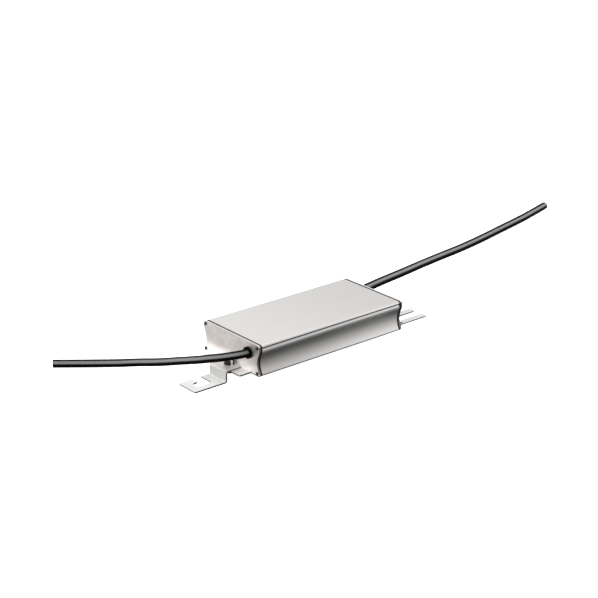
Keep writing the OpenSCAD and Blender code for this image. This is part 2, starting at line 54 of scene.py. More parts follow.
def set_camera():
    level = cos(VIEW_RISE)
    back = Vector((sin(VIEW_TURN) * level, -cos(VIEW_TURN) * level, sin(VIEW_RISE)))
    right = Vector((0, 0, 1)).cross(back).normalized()
    up = back.cross(right)
    turned = Matrix((right, up, back)).transposed() @ Matrix.Rotation(VIEW_ROLL, 3, "Z")
    lens = bpy.data.cameras.new("photo_view")
    lens.sensor_width = SENSOR
    lens.lens = LENS
    lens.clip_start = NEAREST
    camera = bpy.data.objects.new("photo_view", lens)
    camera.matrix_world = Matrix.Translation(CAMERA_AT) @ turned.to_4x4()
    scene.collection.objects.link(camera)
    scene.camera = camera


set_camera()


# Shader sums and finishes


class Value:
    """A socket of a finish, used in sums as a number is."""

    def __init__(self, finish, socket):
        self.finish = finish
        self.socket = socket

    def sum_up(self, how, a, b):
        return self.finish.node("ShaderNodeMath", {"operation": how}, {0: a, 1: b})

    def __add__(self, other):
        return self.sum_up("ADD", self, other)

    def __radd__(self, other):
        return self.sum_up("ADD", other, self)

    def __sub__(self, other):
        return self.sum_up("SUBTRACT", self, other)

    def __rsub__(self, other):
        return self.sum_up("SUBTRACT", other, self)

    def __mul__(self, other):
        return self.sum_up("MULTIPLY", self, other)

    def __rmul__(self, other):
        return self.sum_up("MULTIPLY", other, self)


BEVEL_SAMPLES = 6


def grey(level):
    return (level, level, level)


class Finish:
    """A material under construction; sizes of its patterns are in millimetres."""

    def __init__(self, name, **fixed):
        self.material = bpy.data.materials.new(name)
        self.material.use_nodes = True
        self.tree = self.material.node_tree
        self.shader = self.tree.nodes["Principled BSDF"]
        self.place = self.node("ShaderNodeTexCoord", out="Object")
        for socket, value in fixed.items():
            self.give(socket.replace("_", " "), value)

    def node(self, kind, settings=None, sockets=None, out=0):
        made = self.tree.nodes.new(kind)
        for key, value in (settings or {}).items():
            setattr(made, key, value)
        for key, value in (sockets or {}).items():
            self.feed(made.inputs[key], value)
        return Value(self, made.outputs[out])

    def feed(self, socket, value):
        if isinstance(value, Value):
            self.tree.links.new(value.socket, socket)
        elif isinstance(value, tuple) and len(value) == 3 and socket.type == "RGBA":
            socket.default_value = (*value, 1)
        else:
            socket.default_value = value

    def give(self, socket, value):
        self.feed(self.shader.inputs[socket], value)

    def grain(self, length, width=None, height=None, detail=2, place=None):
        """Noise whose grains are about this long in X, wide in Y and high in Z."""
        width = width or length
        height = height or width
        stretch = (1 / (length * MM), 1 / (width * MM), 1 / (height * MM))
        sockets = {"Vector": place or self.place, "Scale": stretch}
        laid = self.node("ShaderNodeMapping", None, sockets)
        return self.node("ShaderNodeTexNoise", None, {"Vector": laid, "Scale": 1, "Detail": detail})

    def between(self, value, low, high):
        """0 up to low and 1 from high on, with a smooth rise."""
        return self.node(
            "ShaderNodeMapRange",
            {"interpolation_type": "SMOOTHSTEP"},
            {"Value": value, "From Min": low, "From Max": high},
        )

    def mixed(self, share, first, second):
        return self.node(
            "ShaderNodeMix", {"data_type": "RGBA"}, {0: share, 6: first, 7: second}, out=2
        )

    def softened(self, radius):
        """The normal with its sharp edges rounded by this radius."""
        return self.node("ShaderNodeBevel", {"samples": BEVEL_SAMPLES}, {"Radius": radius * MM})

    def bumped(self, height, depth, normal=None):
        sockets = {"Height": height, "Distance": depth * MM, "Strength": 1}
        if normal is not None:
            sockets["Normal"] = normal
        return self.node("ShaderNodeBump", None, sockets)

    def size_of(self, value):
        return self.node("ShaderNodeMath", {"operation": "ABSOLUTE"}, {0: value})

    def part_of(self, vector, axis):
        return self.node("ShaderNodeSeparateXYZ", None, {0: vector}, out=axis)

    def facing(self, axis):
        """1 on faces square to an axis, 0 on the others."""
        normal = self.node("ShaderNodeNewGeometry", out="True Normal")
        return self.between(self.size_of(self.part_of(normal, axis)), 0.6, 0.9)

    def worn_edges(self, radius):
        """1 at sharp edges, 0 on open faces."""
        flat = self.node("ShaderNodeNewGeometry", out="Normal")
        soft = self.softened(radius)
        likeness = self.node(
            "ShaderNodeVectorMath", {"operation": "DOT_PRODUCT"}, {0: flat, 1: soft}, out="Value"
        )
        return self.between(1 - likeness, 0.005, 0.12)


# Where the part's features lie, in millimetres; the groove's heights are measured down from the roof

BODY_X = -2.55
FLANGE_REACH = 104
FLANGE_LENGTH = 13
HALF_FLANGE = 30
HALF_WIDTH = 42.5
SHADOW_START = 27
SHADOW_END = 42
FRONT_X = -93.05
REAR_X = 87.95
BASE_Z = 9.3
ROOF_Z = 40.2
GROOVE_ROOF = 1.8
GROOVE_FLOOR = 4.6
FOOT_TOP = 1.5
GROOVE_IN = 0.6
# Angle and count of the bolt's painted highlight bands.
GLINT_AT = radians(-97)
GLINT_BANDS = 3
RING_PITCH = 0.16
# Near black, used for painted shade.
PAINTED_SHADE = grey(0.02)


def anodised_finish():
    """Satin anodised extrusion with painted shade deep in its grooves and along its lower edges, and a
    painted highlight on the lip below each groove.

    Towards the rear its roof is darker and its sides are paler, as in the photograph's light.
    """
    f = Finish("anodised_aluminium", Metallic=1)
    die_lines = f.grain(160, 0.5, detail=3)
    bands = f.grain(400, 6, detail=1)
    grit = f.grain(0.22)
    clouds = f.grain(35, detail=3)
    tone = f.between(0.5 * die_lines + 0.5 * grit + 0.2 * bands, 0.4, 0.8)
    # Painted light: roof and sides are lit and shaded copies of one metal, each changing tone from
    # front to rear.
    along = f.between(f.part_of(f.place, "X"), FRONT_X * MM, REAR_X * MM)
    roof_front = f.mixed(tone, (0.812, 0.802, 0.79), (0.855, 0.846, 0.836))
    roof_rear = f.mixed(tone, (0.715, 0.705, 0.692), (0.757, 0.748, 0.737))
    side_front = f.mixed(tone, (0.6, 0.592, 0.583), (0.64, 0.633, 0.625))
    side_rear = f.mixed(tone, (0.89, 0.88, 0.868), (0.93, 0.92, 0.908))
    roof = f.mixed(along, roof_front, roof_rear)
    depth = HALF_WIDTH * MM - f.size_of(f.part_of(f.place, "Y"))
    height = f.part_of(f.place, "Z")
    drop = ROOF_Z * MM - height
    # Painted highlight on the lip below the groove, in the sides' rear tone.
    lip_highlight = f.between(drop, GROOVE_FLOOR * MM, (GROOVE_FLOOR + 0.4) * MM) * (
        1 - f.between(drop, (GROOVE_FLOOR + 2) * MM, (GROOVE_FLOOR + 4) * MM)
    )
    side = f.mixed(lip_highlight, f.mixed(along, side_front, side_rear), side_rear)
    metal = f.mixed(f.facing("Z"), side, roof)
    # Painted shade: near black deep in the groove and along the bottom edge.
    inside = f.between(depth, GROOVE_IN * MM, (GROOVE_IN + 0.3) * MM)
    below = f.between(drop, GROOVE_ROOF * MM, (GROOVE_ROOF + 0.1) * MM)
    groove = inside * below * (1 - f.between(drop, (GROOVE_FLOOR - 1) * MM, GROOVE_FLOOR * MM))
    bottom_shade = 1 - f.between(height, (BASE_Z + 0.9) * MM, (BASE_Z + 2) * MM)
    f.give("Base Color", f.mixed(groove * 0.9 + bottom_shade * 0.85, metal, PAINTED_SHADE))
    f.give("Roughness", 0.36 + 0.1 * clouds + 0.08 * die_lines + 0.3 * groove)
    f.give("Normal", f.bumped(0.7 * die_lines + 0.3 * grit, 0.003, f.softened(0.12)))
    return f.material


def plate_finish():
    """Warm matt sheet, greyer on the flange, with a painted highlight over its fold and bend and
    painted shade on the right, on its cut side faces, at the flange's front edge and along the bottom
    beside the flange.
    """
    f = Finish("matt_end_plate")
    grit = f.grain(0.3, detail=3)
    clouds = f.grain(14, detail=3)
    upright = f.facing("X")
    height = f.part_of(f.place, "Z")
    rightward = 0 - f.part_of(f.place, "Y")
    # Painted highlight: the upright face is paler low down, over its fold.
    fold = 1 - f.between(height, (BASE_Z + 4) * MM, (BASE_Z + 15) * MM)
    # Painted shade: the upright face darkens towards its right.
    right_shadow = f.between(rightward, SHADOW_START * MM, SHADOW_END * MM)
    reach = f.size_of(f.part_of(f.place, "X") - BODY_X * MM)
    rim = f.between(reach, (FLANGE_REACH - 0.5) * MM, FLANGE_REACH * MM)
    mottle = f.between(0.6 * clouds + 0.4 * f.grain(2.5, detail=4), 0.36, 0.66)
    face = f.mixed(mottle, (0.72, 0.668, 0.638), (0.875, 0.82, 0.79))
    lit = f.mixed(fold * upright, face, (0.98, 0.945, 0.92))
    shaded = f.mixed(right_shadow * upright * 0.6, lit, (0.46, 0.43, 0.41))
    level = f.facing("Z")
    side = f.facing("Y")
    flat = f.mixed(level, shaded, (0.8, 0.77, 0.75))
    # Painted highlight on the bend between face and flange.
    bend = f.mixed((1 - upright) * (1 - level) * (1 - side), flat, (0.92, 0.88, 0.86))
    edged = f.mixed(f.worn_edges(0.3) * 0.5, bend, (0.84, 0.8, 0.78))
    # Painted shade: the sheet's side faces are dark, near black beyond the flange's start.
    cut = f.mixed(side * 0.8, edged, (0.1, 0.09, 0.085))
    flange_start = FLANGE_REACH - FLANGE_LENGTH
    beyond = f.between(reach, flange_start * MM, (flange_start + 0.5) * MM)
    flange_side_shade = f.mixed(side * beyond, cut, (0.015, 0.014, 0.013))
    # Painted shade: a near black line along the bottom edge beside the flange.
    beside = f.between(rightward, HALF_FLANGE * MM, (HALF_FLANGE + 0.5) * MM)
    bottom_shade = beside * (1 - f.between(height, (BASE_Z + 0.6) * MM, (BASE_Z + 1.4) * MM))
    bottom_shaded = f.mixed(bottom_shade * 0.9, flange_side_shade, PAINTED_SHADE)
    # Painted shade: the flange's front edge face is dark grey.
    f.give("Base Color", f.mixed(rim * upright, bottom_shaded, (0.16, 0.15, 0.145)))
    f.give("Metallic", 1 - 0.7 * fold)
    f.give("Roughness", 0.38 + 0.16 * clouds)
    f.give("Normal", f.bumped(grit, 0.006, f.softened(0.15)))
    return f.material


def zinc_finish():
    """Bright zinc on rolled sheet, with painted shade: greyer on its upright faces, the tabs and to the
    rear, and dark on the foot's ends and on the side faces where the sheet was cut.
    """
    f = Finish("bright_zinc", Metallic=0.5)
    rolled = f.grain(30, 0.35, detail=3)
    clouds = f.grain(5, detail=4)
    height = f.part_of(f.place, "Z")
    low = 1 - f.between(height, FOOT_TOP * MM, (FOOT_TOP + 0.6) * MM)
    bright = f.mixed(f.between(clouds, 0.3, 0.75), (0.835, 0.832, 0.827), (0.905, 0.902, 0.897))
    # Painted shade: upright faces above the foot are a darker copy.
    upright = f.mixed(f.facing("X") * (1 - low), bright, (0.615, 0.61, 0.6))
    rear = f.between(f.part_of(f.place, "X"), FRONT_X * MM, REAR_X * MM)
    # Painted shade: greyer towards the rear.
    rear_shade = f.mixed(rear * 0.36, upright, (0.45, 0.447, 0.442))
    # Painted shade on the tab tops.
    tab = f.between(height, BASE_Z * MM, (BASE_Z + 1.2) * MM)
    shelf = f.mixed(tab * f.facing("Z"), rear_shade, (0.62, 0.605, 0.595))
    # Painted shade on the foot's upright ends.
    tips = f.mixed(f.facing("X") * low, shelf, (0.3, 0.297, 0.293))
    # Painted shade: side faces are near black, dark grey on the tabs and to the rear.
    cut = f.mixed(f.between(rear + tab, 0, 0.9), PAINTED_SHADE, (0.3, 0.295, 0.29))
    f.give("Base Color", f.mixed(f.facing("Y"), tips, cut))
    f.give("Roughness", 0.3 + 0.14 * clouds + 0.06 * rolled + 0.2 * f.facing("Y"))
    f.give("Normal", f.bumped(0.6 * rolled + 0.4 * clouds, 0.005, f.softened(0.12)))
    return f.material


def turned_finish(name, axis_x, axis_y):
    """Dark steel turned round an upright axis; its sides are painted near black as a reflection, with
    three painted highlight bands.
    """
    f = Finish(name, Metallic=1)
    sockets = {"Vector": f.place, "Location": (-axis_x, -axis_y, 0)}
    centred = f.node("ShaderNodeMapping", None, sockets)
    flat = f.node("ShaderNodeVectorMath", {"operation": "MULTIPLY"}, {0: centred, 1: (1, 1, 0)})
    radius = f.node("ShaderNodeVectorMath", {"operation": "LENGTH"}, {0: flat}, out="Value")
    rings = f.node("ShaderNodeMath", {"operation": "SINE"}, {0: radius * (tau / (RING_PITCH * MM))})
    spot = {0: f.part_of(flat, "Y"), 1: f.part_of(flat, "X")}
    turn = f.node("ShaderNodeMath", {"operation": "ARCTAN2"}, spot)
    # Painted highlight: three bright bands round the sides from a set angle; between them the sides are
    # painted near black as a reflection.
    bands = (turn - GLINT_AT) * GLINT_BANDS
    wave = f.node("ShaderNodeMath", {"operation": "COSINE"}, {0: bands})
    painted_glint = f.between(wave, 0.75, 0.95)
    scuffs = f.grain(0.8, detail=3)
    side = f.mixed(painted_glint, grey(0.05), (0.98, 0.975, 0.97))
    top = f.mixed(scuffs, grey(0.6), (0.72, 0.715, 0.71))
    f.give("Base Color", f.mixed(f.facing("Z"), side, top))
    f.give("Roughness", 0.16 + 0.12 * scuffs)
    f.give("Normal", f.bumped(rings, 0.002, f.softened(0.12)))
    return f.material


def rubber_finish():
    f = Finish("gasket_rubber", Specular_IOR_Level=0.2)
    grit = f.grain(0.25, detail=3)
    bloom = f.grain(4, detail=3)
    f.give("Base Color", f.mixed(f.between(bloom, 0.45, 0.8), grey(0.006), grey(0.014)))
    f.give("Roughness", 0.7 + 0.15 * grit)
    f.give("Normal", f.bumped(grit, 0.02))
    return f.material


def nylon_finish():
    f = Finish("gland_nylon", Specular_IOR_Level=0.06)
    grit = f.grain(0.18, detail=2)
    edge = f.worn_edges(0.3)
    f.give("Base Color", f.mixed(edge * 0.5, grey(0.001), grey(0.006)))
    f.give("Roughness", 0.38 + 0.14 * grit)
    f.give("Normal", f.bumped(grit, 0.006, f.softened(0.2)))
    return f.material


def sheath_finish(name, foot, crest, highlight_grey):
    """Black sheath with a painted highlight and a gloss coat where its normal rises from foot to crest;
    lay follows the cable.
    """
    f = Finish(name, Specular_IOR_Level=0.03, Coat_IOR=1.6, Coat_Roughness=0.28)
    lay = f.node("ShaderNodeAttribute", {"attribute_name": "lay"}, out="Vector")
    drawn = f.grain(0.35, 0.35, 60, detail=2, place=lay)
    grit = f.grain(0.25, detail=2, place=lay)
    bloom = f.grain(3, 3, 18, detail=4, place=lay)
    rise = f.part_of(f.node("ShaderNodeNewGeometry", out="Normal"), "Z")
    shoulder = f.between(rise, *foot) * (1 - f.between(rise, *crest))
    black = f.mixed(f.between(bloom, 0.45, 0.8), grey(0.002), grey(0.005))
    # Painted highlight: grey base colour on the shoulder band.
    f.give("Base Color", f.mixed(shoulder * (0.8 + 0.4 * bloom), black, grey(highlight_grey)))
    f.give("Roughness", 0.3 + 0.1 * bloom + 0.05 * drawn)
    f.give("Coat Weight", shoulder * (0.4 + 0.25 * bloom))
    f.give("Normal", f.bumped(0.6 * drawn + 0.4 * grit, 0.006))
    return f.material


def black_zinc_finish():
    f = Finish("black_zinc", Metallic=0.6)
    clouds = f.grain(0.6, detail=4)
    edge = f.worn_edges(0.15)
    body = f.mixed(clouds, (0.03, 0.03, 0.032), (0.07, 0.07, 0.072))
    f.give("Base Color", f.mixed(edge * 0.7, body, grey(0.2)))
    f.give("Roughness", 0.3 + 0.2 * clouds)
    f.give("Normal", f.bumped(clouds, 0.006, f.softened(0.08)))
    return f.material


def moulded_finish(name, dark, light, size, rough, depth=0.008, **fixed):
    """A plain moulded, dipped or fired finish with mottling of this size."""
    f = Finish(name, **fixed)
    mottle = f.grain(size, detail=3)
    grit = f.grain(size / 8, detail=2)
    f.give("Base Color", f.mixed(f.between(mottle, 0.35, 0.7), dark, light))
    f.give("Roughness", rough + 0.12 * grit)
    f.give("Normal", f.bumped(grit, depth))
    return f.material


def wound_finish(name, dark, light, pitch):
    """Enamelled wire, turn beside turn, seen as fine ridges."""
    f = Finish(name, Coat_Weight=0.4, Metallic=0.7)
    along = f.part_of(f.place, "X")
    turns = f.node("ShaderNodeMath", {"operation": "SINE"}, {0: along * (tau / (pitch * MM))})
    mottle = f.grain(3, detail=2)
    f.give("Base Color", f.mixed(0.5 + 0.3 * turns + 0.2 * mottle, dark, light))
    f.give("Roughness", 0.25 + 0.15 * mottle)
    f.give("Normal", f.bumped(turns, 0.12))
    return f.material


def board_finish():
    """Green solder resist over faint copper tracks."""
    f = Finish("circuit_board", Coat_Weight=0.2)
    cells = f.node(
        "ShaderNodeTexVoronoi",
        {"feature": "DISTANCE_TO_EDGE", "distance": "EUCLIDEAN"},
        {"Vector": f.place, "Scale": 160},
    )
    tracks = f.between(cells, 0.02, 0.06)
    weave = f.grain(0.4, detail=2)
    resist = f.mixed(weave, (0.012, 0.1, 0.035), (0.02, 0.14, 0.05))
    f.give("Base Color", f.mixed(tracks, (0.05, 0.24, 0.09), resist))
    f.give("Roughness", 0.3 + 0.15 * weave)
    f.give("Normal", f.bumped(tracks, 0.04))
    return f.material


FRONT_BOLT = Vector((-99.05, -4.5, 0)) * MM
REAR_BOLT = Vector((93.95, -4.5, 0)) * MM

anodised = anodised_finish()
plate = plate_finish()
zinc = zinc_finish()
rubber = rubber_finish()
nylon = nylon_finish()
front_sheath = sheath_finish("front_sheath", (0.05, 0.4), (0.65, 0.95), 0.17)
rear_sheath = sheath_finish("rear_sheath", (0.22, 0.6), (0.77, 0.95), 0.21)
black_zinc = black_zinc_finish()
moulding = moulded_finish("black_moulding", (0.012, 0.012, 0.013), (0.024, 0.024, 0.025), 2, 0.45)
ferrite = moulded_finish("ferrite", (0.02, 0.02, 0.022), (0.045, 0.045, 0.048), 1.5, 0.5, 0.015)
tape = moulded_finish("winding_tape", (0.55, 0.3, 0.03), (0.66, 0.4, 0.06), 6, 0.3, Coat_Weight=0.3)
sleeve = moulded_finish("capacitor_sleeve", (0.01, 0.014, 0.04), (0.018, 0.024, 0.06), 5, 0.25)
film_case = moulded_finish("film_case", (0.55, 0.42, 0.05), (0.64, 0.5, 0.08), 4, 0.35)
blue_coat = moulded_finish("varistor_coat", (0.015, 0.06, 0.24), (0.03, 0.1, 0.34), 3, 0.28)
white_nylon = moulded_finish("white_nylon", (0.68, 0.65, 0.58), (0.76, 0.73, 0.67), 6, 0.4)
thermal = moulded_finish("thermal_pad", (0.4, 0.33, 0.48), (0.5, 0.42, 0.58), 2, 0.75)
copper_wire = wound_finish("copper_wire", (0.25, 0.07, 0.02), (0.62, 0.24, 0.09), 0.9)
brown_core = moulded_finish("brown_core", (0.09, 0.035, 0.015), (0.12, 0.05, 0.02), 1, 0.4)
blue_core = moulded_finish("blue_core", (0.015, 0.06, 0.3), (0.03, 0.09, 0.38), 1, 0.4)
green_core = moulded_finish("green_core", (0.05, 0.22, 0.03), (0.4, 0.42, 0.03), 1.5, 0.4)
red_core = moulded_finish("red_core", (0.35, 0.015, 0.012), (0.42, 0.03, 0.02), 1, 0.4)
black_core = moulded_finish("black_core", grey(0.01), grey(0.02), 1, 0.4)
bare_copper = moulded_finish(
    "bare_copper", (0.6, 0.24, 0.12), (0.75, 0.36, 0.2), 0.3, 0.25, Metallic=1
)
board = board_finish()
front_turned = turned_finish("front_turned_steel", FRONT_BOLT.x, FRONT_BOLT.y)
rear_turned = turned_finish("rear_turned_steel", REAR_BOLT.x, REAR_BOLT.y)

NODE_FINISHES = {
    anodised: ["housing", "heat_spreader"],
    plate: ["front_end_plate", "rear_end_plate"],
    zinc: ["front_bracket", "rear_bracket"],
    rubber: ["front_gasket", "rear_gasket", "front_leads", "rear_leads"],
    nylon: ["front_gland", "rear_gland", "front_gland_nut", "rear_gland_nut"],
    black_zinc: ["front_plate_screws", "rear_plate_screws"],
    front_turned: ["front_bracket_bolt", "front_bracket_nut"],
    rear_turned: ["rear_bracket_bolt", "rear_bracket_nut"],
    moulding: ["transformer_base", "fuse", "bridge_rectifier", "power_devices", "control_chips"],
    ferrite: ["transformer_core", "filter_choke_core", "pfc_choke_core"],
    tape: ["transformer_winding"],
    sleeve: ["bulk_capacitor", "output_capacitors"],
    film_case: ["film_capacitor"],
    blue_coat: ["varistor"],
    white_nylon: ["insulating_sheet", "filter_choke_base"],
    thermal: ["thermal_pad"],
    copper_wire: ["filter_choke_windings", "pfc_choke_winding"],
    board: ["circuit_board"],
}


def paint(piece, material):
    piece.data.materials.clear()
    piece.data.materials.append(material)


for material, names in NODE_FINISHES.items():
    for name in names:
        paint(nodes[name], material)


# Geometry Nodes: one small maker for all trees


class Tree:
    """A Geometry Nodes tree with named inputs."""

    def __init__(self, name, sizes):
        self.tree = bpy.data.node_groups.new(name, "GeometryNodeTree")
        face = self.tree.interface
        face.new_socket("Geometry", in_out="INPUT", socket_type="NodeSocketGeometry")
        face.new_socket("Geometry", in_out="OUTPUT", socket_type="NodeSocketGeometry")
        self.keys = {}
        for size, kind in sizes.items():
            self.keys[size] = face.new_socket(size, in_out="INPUT", socket_type=kind).identifier
        self.given = self.tree.nodes.new("NodeGroupInput")

    def size(self, name):
        return self.given.outputs[name]

    def node(self, kind, settings=None, sockets=None):
        made = self.tree.nodes.new(kind)
        for key, value in (settings or {}).items():
            setattr(made, key, value)
        for key, value in (sockets or {}).items():
            if isinstance(value, bpy.types.NodeSocket):
                self.tree.links.new(value, made.inputs[key])
            else:
                made.inputs[key].default_value = value
        return made.outputs

    def close(self, geometry, material):
        real = self.node("GeometryNodeRealizeInstances", None, {"Geometry": geometry})
        sockets = {"Geometry": real["Geometry"], "Material": material}
        dressed = self.node("GeometryNodeSetMaterial", None, sockets)
        end = self.tree.nodes.new("NodeGroupOutput")
        self.tree.links.new(dressed["Geometry"], end.inputs["Geometry"])

    def grow(self, name, mesh, values):
        """Run the tree on a mesh and return the result as a plain mesh object."""
        seed = bpy.data.objects.new(name + "_seed", mesh)
        scene.collection.objects.link(seed)
        modifier = seed.modifiers.new("grow", "NODES")
        modifier.node_group = self.tree
        for size, value in values.items():
            modifier[self.keys[size]] = value
        grown = applied(seed)
        bpy.data.objects.remove(seed)
        bpy.data.meshes.remove(mesh)
        return shown(name, grown)


def shown(name, mesh):
    mesh.name = name
    piece = bpy.data.objects.new(name, mesh)
    scene.collection.objects.link(piece)
    return piece


def applied(piece):
    """The piece's mesh with its modifiers applied."""
    settled = bpy.context.evaluated_depsgraph_get()
    return bpy.data.meshes.new_from_object(piece.evaluated_get(settled))


def points_mesh(name, points, joined=False):
    mesh = bpy.data.meshes.new(name)
    edges = [(i, i + 1) for i in range(len(points) - 1)] if joined else []
    mesh.from_pydata([tuple(p) for p in points], edges, [])
    return mesh


# Cables: sizes and routes in millimetres, with X from the middle of the housing

FRONT_CABLE_D = 7.9
REAR_CABLE_D = 9
FRONT_CORE_D = 2
REAR_CORE_D = 2.6
SHEATH_SIDES = 32
SHEATH_STEP = 1.6
SHEATH_SHARP = radians(50)
FRONT_ROUTE = [
    (-93, -26.5, 29.3), (-100, -26, 29.5), (-107, -22.5, 28.8), (-114, -16.5, 27.3),
    (-121, -8, 25.2), (-128, 3, 22.2), (-136, 19, 18), (-145.5, 38.2, 12.9),
    (-155.5, 56.7, 9.2), (-161.2, 65.7, 7.4), (-167.8, 73.8, 6.1), (-180.8, 88, 4.7),
    (-194.7, 100.9, 4.05), (-209.5, 113.1, 3.95), (-214.5, 117.1, 3.95),
]
REAR_ROUTE = [
    (93, 26.5, 29.3), (101, 27, 29), (110, 29.5, 28.5), (134, 37, 26.5),
    (175, 50.5, 22), (198, 58.6, 19.3), (221, 67, 16.5), (267.4, 82.4, 11.3),
    (310.7, 94.4, 7.6), (355.5, 105.9, 5.6), (399.9, 117, 4.8), (448.3, 128.2, 4.5),
    (473.2, 134.8, 4.5), (500, 142.3, 4.5), (508.4, 144.6, 4.5),
]
LEG_STEPS = 12


def laid_route(route):
    """Points in metres on a smooth curve through the route, which leaves its gland straight."""
    stops = [Vector((x + BODY_X, y, z)) * MM for x, y, z in route]
    last = len(stops) - 1

    def heading(i):
        if i == 0:
            return Vector((1 if stops[0].x > 0 else -1, 0, 0))
        return (stops[min(i + 1, last)] - stops[i - 1]).normalized()

    line = []
    for i in range(last):
        a, b = stops[i], stops[i + 1]
        reach = (b - a).length
        for k in range(LEG_STEPS):
            t = k / LEG_STEPS
            line.append(
                a * (2 * t**3 - 3 * t**2 + 1)
                + heading(i) * reach * (t**3 - 2 * t**2 + t)
                + b * (3 * t**2 - 2 * t**3)
                + heading(i + 1) * reach * (t**3 - t**2)
            )
    return [*line, stops[last]]


def length_of(line):
    return sum((b - a).length for a, b in zip(line, line[1:]))


def sheath_tree():
    """A tube round a line; lay holds each point's place on the section and its distance along."""
    tree = Tree(
        "sheath",
        {"Radius": "NodeSocketFloat", "Step": "NodeSocketFloat", "Finish": "NodeSocketMaterial"},
    )
    line = tree.node("GeometryNodeMeshToCurve", None, {"Mesh": tree.given.outputs["Geometry"]})
    sockets = {"Curve": line["Curve"], "Length": tree.size("Step")}
    even = tree.node("GeometryNodeResampleCurve", {"mode": "LENGTH"}, sockets)
    along = tree.node("GeometryNodeSplineParameter")
    held = tree.node("GeometryNodeCaptureAttribute", {"domain": "POINT"})
    held_node = held[0].node
    held_node.capture_items.new("FLOAT", "Length")
    tree.tree.links.new(even["Curve"], held_node.inputs["Geometry"])
    tree.tree.links.new(along["Length"], held_node.inputs["Length"])
    sockets = {"Resolution": SHEATH_SIDES, "Radius": tree.size("Radius")}
    ring = tree.node("GeometryNodeCurvePrimitiveCircle", None, sockets)
    spot = tree.node("GeometryNodeInputPosition")
    seen = tree.node("GeometryNodeCaptureAttribute", {"domain": "POINT"})
    seen_node = seen[0].node
    seen_node.capture_items.new("VECTOR", "Spot")
    tree.tree.links.new(ring["Curve"], seen_node.inputs["Geometry"])
    tree.tree.links.new(spot["Position"], seen_node.inputs["Spot"])
    tube = tree.node(
        "GeometryNodeCurveToMesh",
        None,
        {
            "Curve": held_node.outputs["Geometry"],
            "Profile Curve": seen_node.outputs["Geometry"],
            "Fill Caps": True,
        },
    )
    apart = tree.node("ShaderNodeSeparateXYZ", None, {"Vector": seen_node.outputs["Spot"]})
    sockets = {"X": apart["X"], "Y": apart["Y"], "Z": held_node.outputs["Length"]}
    lay = tree.node("ShaderNodeCombineXYZ", None, sockets)
    marked = tree.node(
        "GeometryNodeStoreNamedAttribute",
        {"data_type": "FLOAT_VECTOR", "domain": "POINT"},
        {"Geometry": tube["Mesh"], "Name": "lay", "Value": lay["Vector"]},
    )
    tree.close(marked["Geometry"], tree.size("Finish"))
    return tree


# Small pieces: plate screws and the cables' cut ends


SCREW_SIDES = 40
SCREW_SHARP = radians(38)
SHANK_R = 1
HEAD_R = 1.75


def solid_mesh(name, body):
    """The bmesh as a mesh, its faces turned outwards."""
    bmesh.ops.recalc_face_normals(body, faces=body.faces)
    mesh = bpy.data.meshes.new(name)
    body.to_mesh(mesh)
    body.free()
    return mesh


def lathe(profile, sides):
    """A solid of revolution round Z; the profile runs from the axis to the axis, in millimetres."""
    body = bmesh.new()
    rings = []
    for radius, height in profile:
        if radius == 0:
            rings.append([body.verts.new((0, 0, height * MM))])
            continue
        turns = [tau * k / sides for k in range(sides)]
        spots = [(radius * cos(t) * MM, radius * sin(t) * MM, height * MM) for t in turns]
        rings.append([body.verts.new(spot) for spot in spots])
    for low, high in zip(rings, rings[1:]):
        for k in range(sides):
            corners = [low[k % len(low)], low[(k + 1) % sides % len(low)]]
            corners += [high[(k + 1) % sides % len(high)], high[k % len(high)]]
            body.faces.new(list(dict.fromkeys(corners)))
    return solid_mesh("turned", body)


def cross_cutter(top, bottom, low, high):
    """A cross that narrows downwards; top and bottom are half length and half width of its arms."""
    body = bmesh.new()
    rings = []
    for (reach, width), height in ((bottom, low), (top, high)):
        corners = []
        for quarter in range(4):
            spin = Matrix.Rotation(quarter * pi / 2, 3, "Z")
            for spot in ((reach, -width), (reach, width), (width, width)):
                corners.append(body.verts.new(spin @ Vector((*spot, height)) * MM))
        rings.append(corners)
        body.faces.new(corners)
    for k in range(len(rings[0])):
        after = (k + 1) % len(rings[0])
        body.faces.new([rings[0][k], rings[0][after], rings[1][after], rings[1][k]])
    return solid_mesh("cross", body)


def screw_mesh(shank):
    """A pan head screw with a cross recess, its head on +Z."""
    profile = [
        (0, -shank), (SHANK_R - 0.25, -shank), (SHANK_R, 0.3 - shank), (SHANK_R, 0),
        (HEAD_R, 0), (HEAD_R, 0.4), (1.7, 0.66), (1.52, 0.94),
        (1.2, 1.14), (0.8, 1.25), (0.4, 1.29), (0, 1.3),
    ]
    screw = shown("screw", lathe(profile, SCREW_SIDES))
    cutter = shown("recess", cross_cutter((1.05, 0.22), (0.6, 0.13), 0.55, 1.6))
    cut = screw.modifiers.new("recess", "BOOLEAN")
    cut.object = cutter
    made = applied(screw)
    bpy.data.objects.remove(screw)
    bpy.data.objects.remove(cutter)
    made.shade_smooth()
    made.set_sharp_from_angle(angle=SCREW_SHARP)
    return made


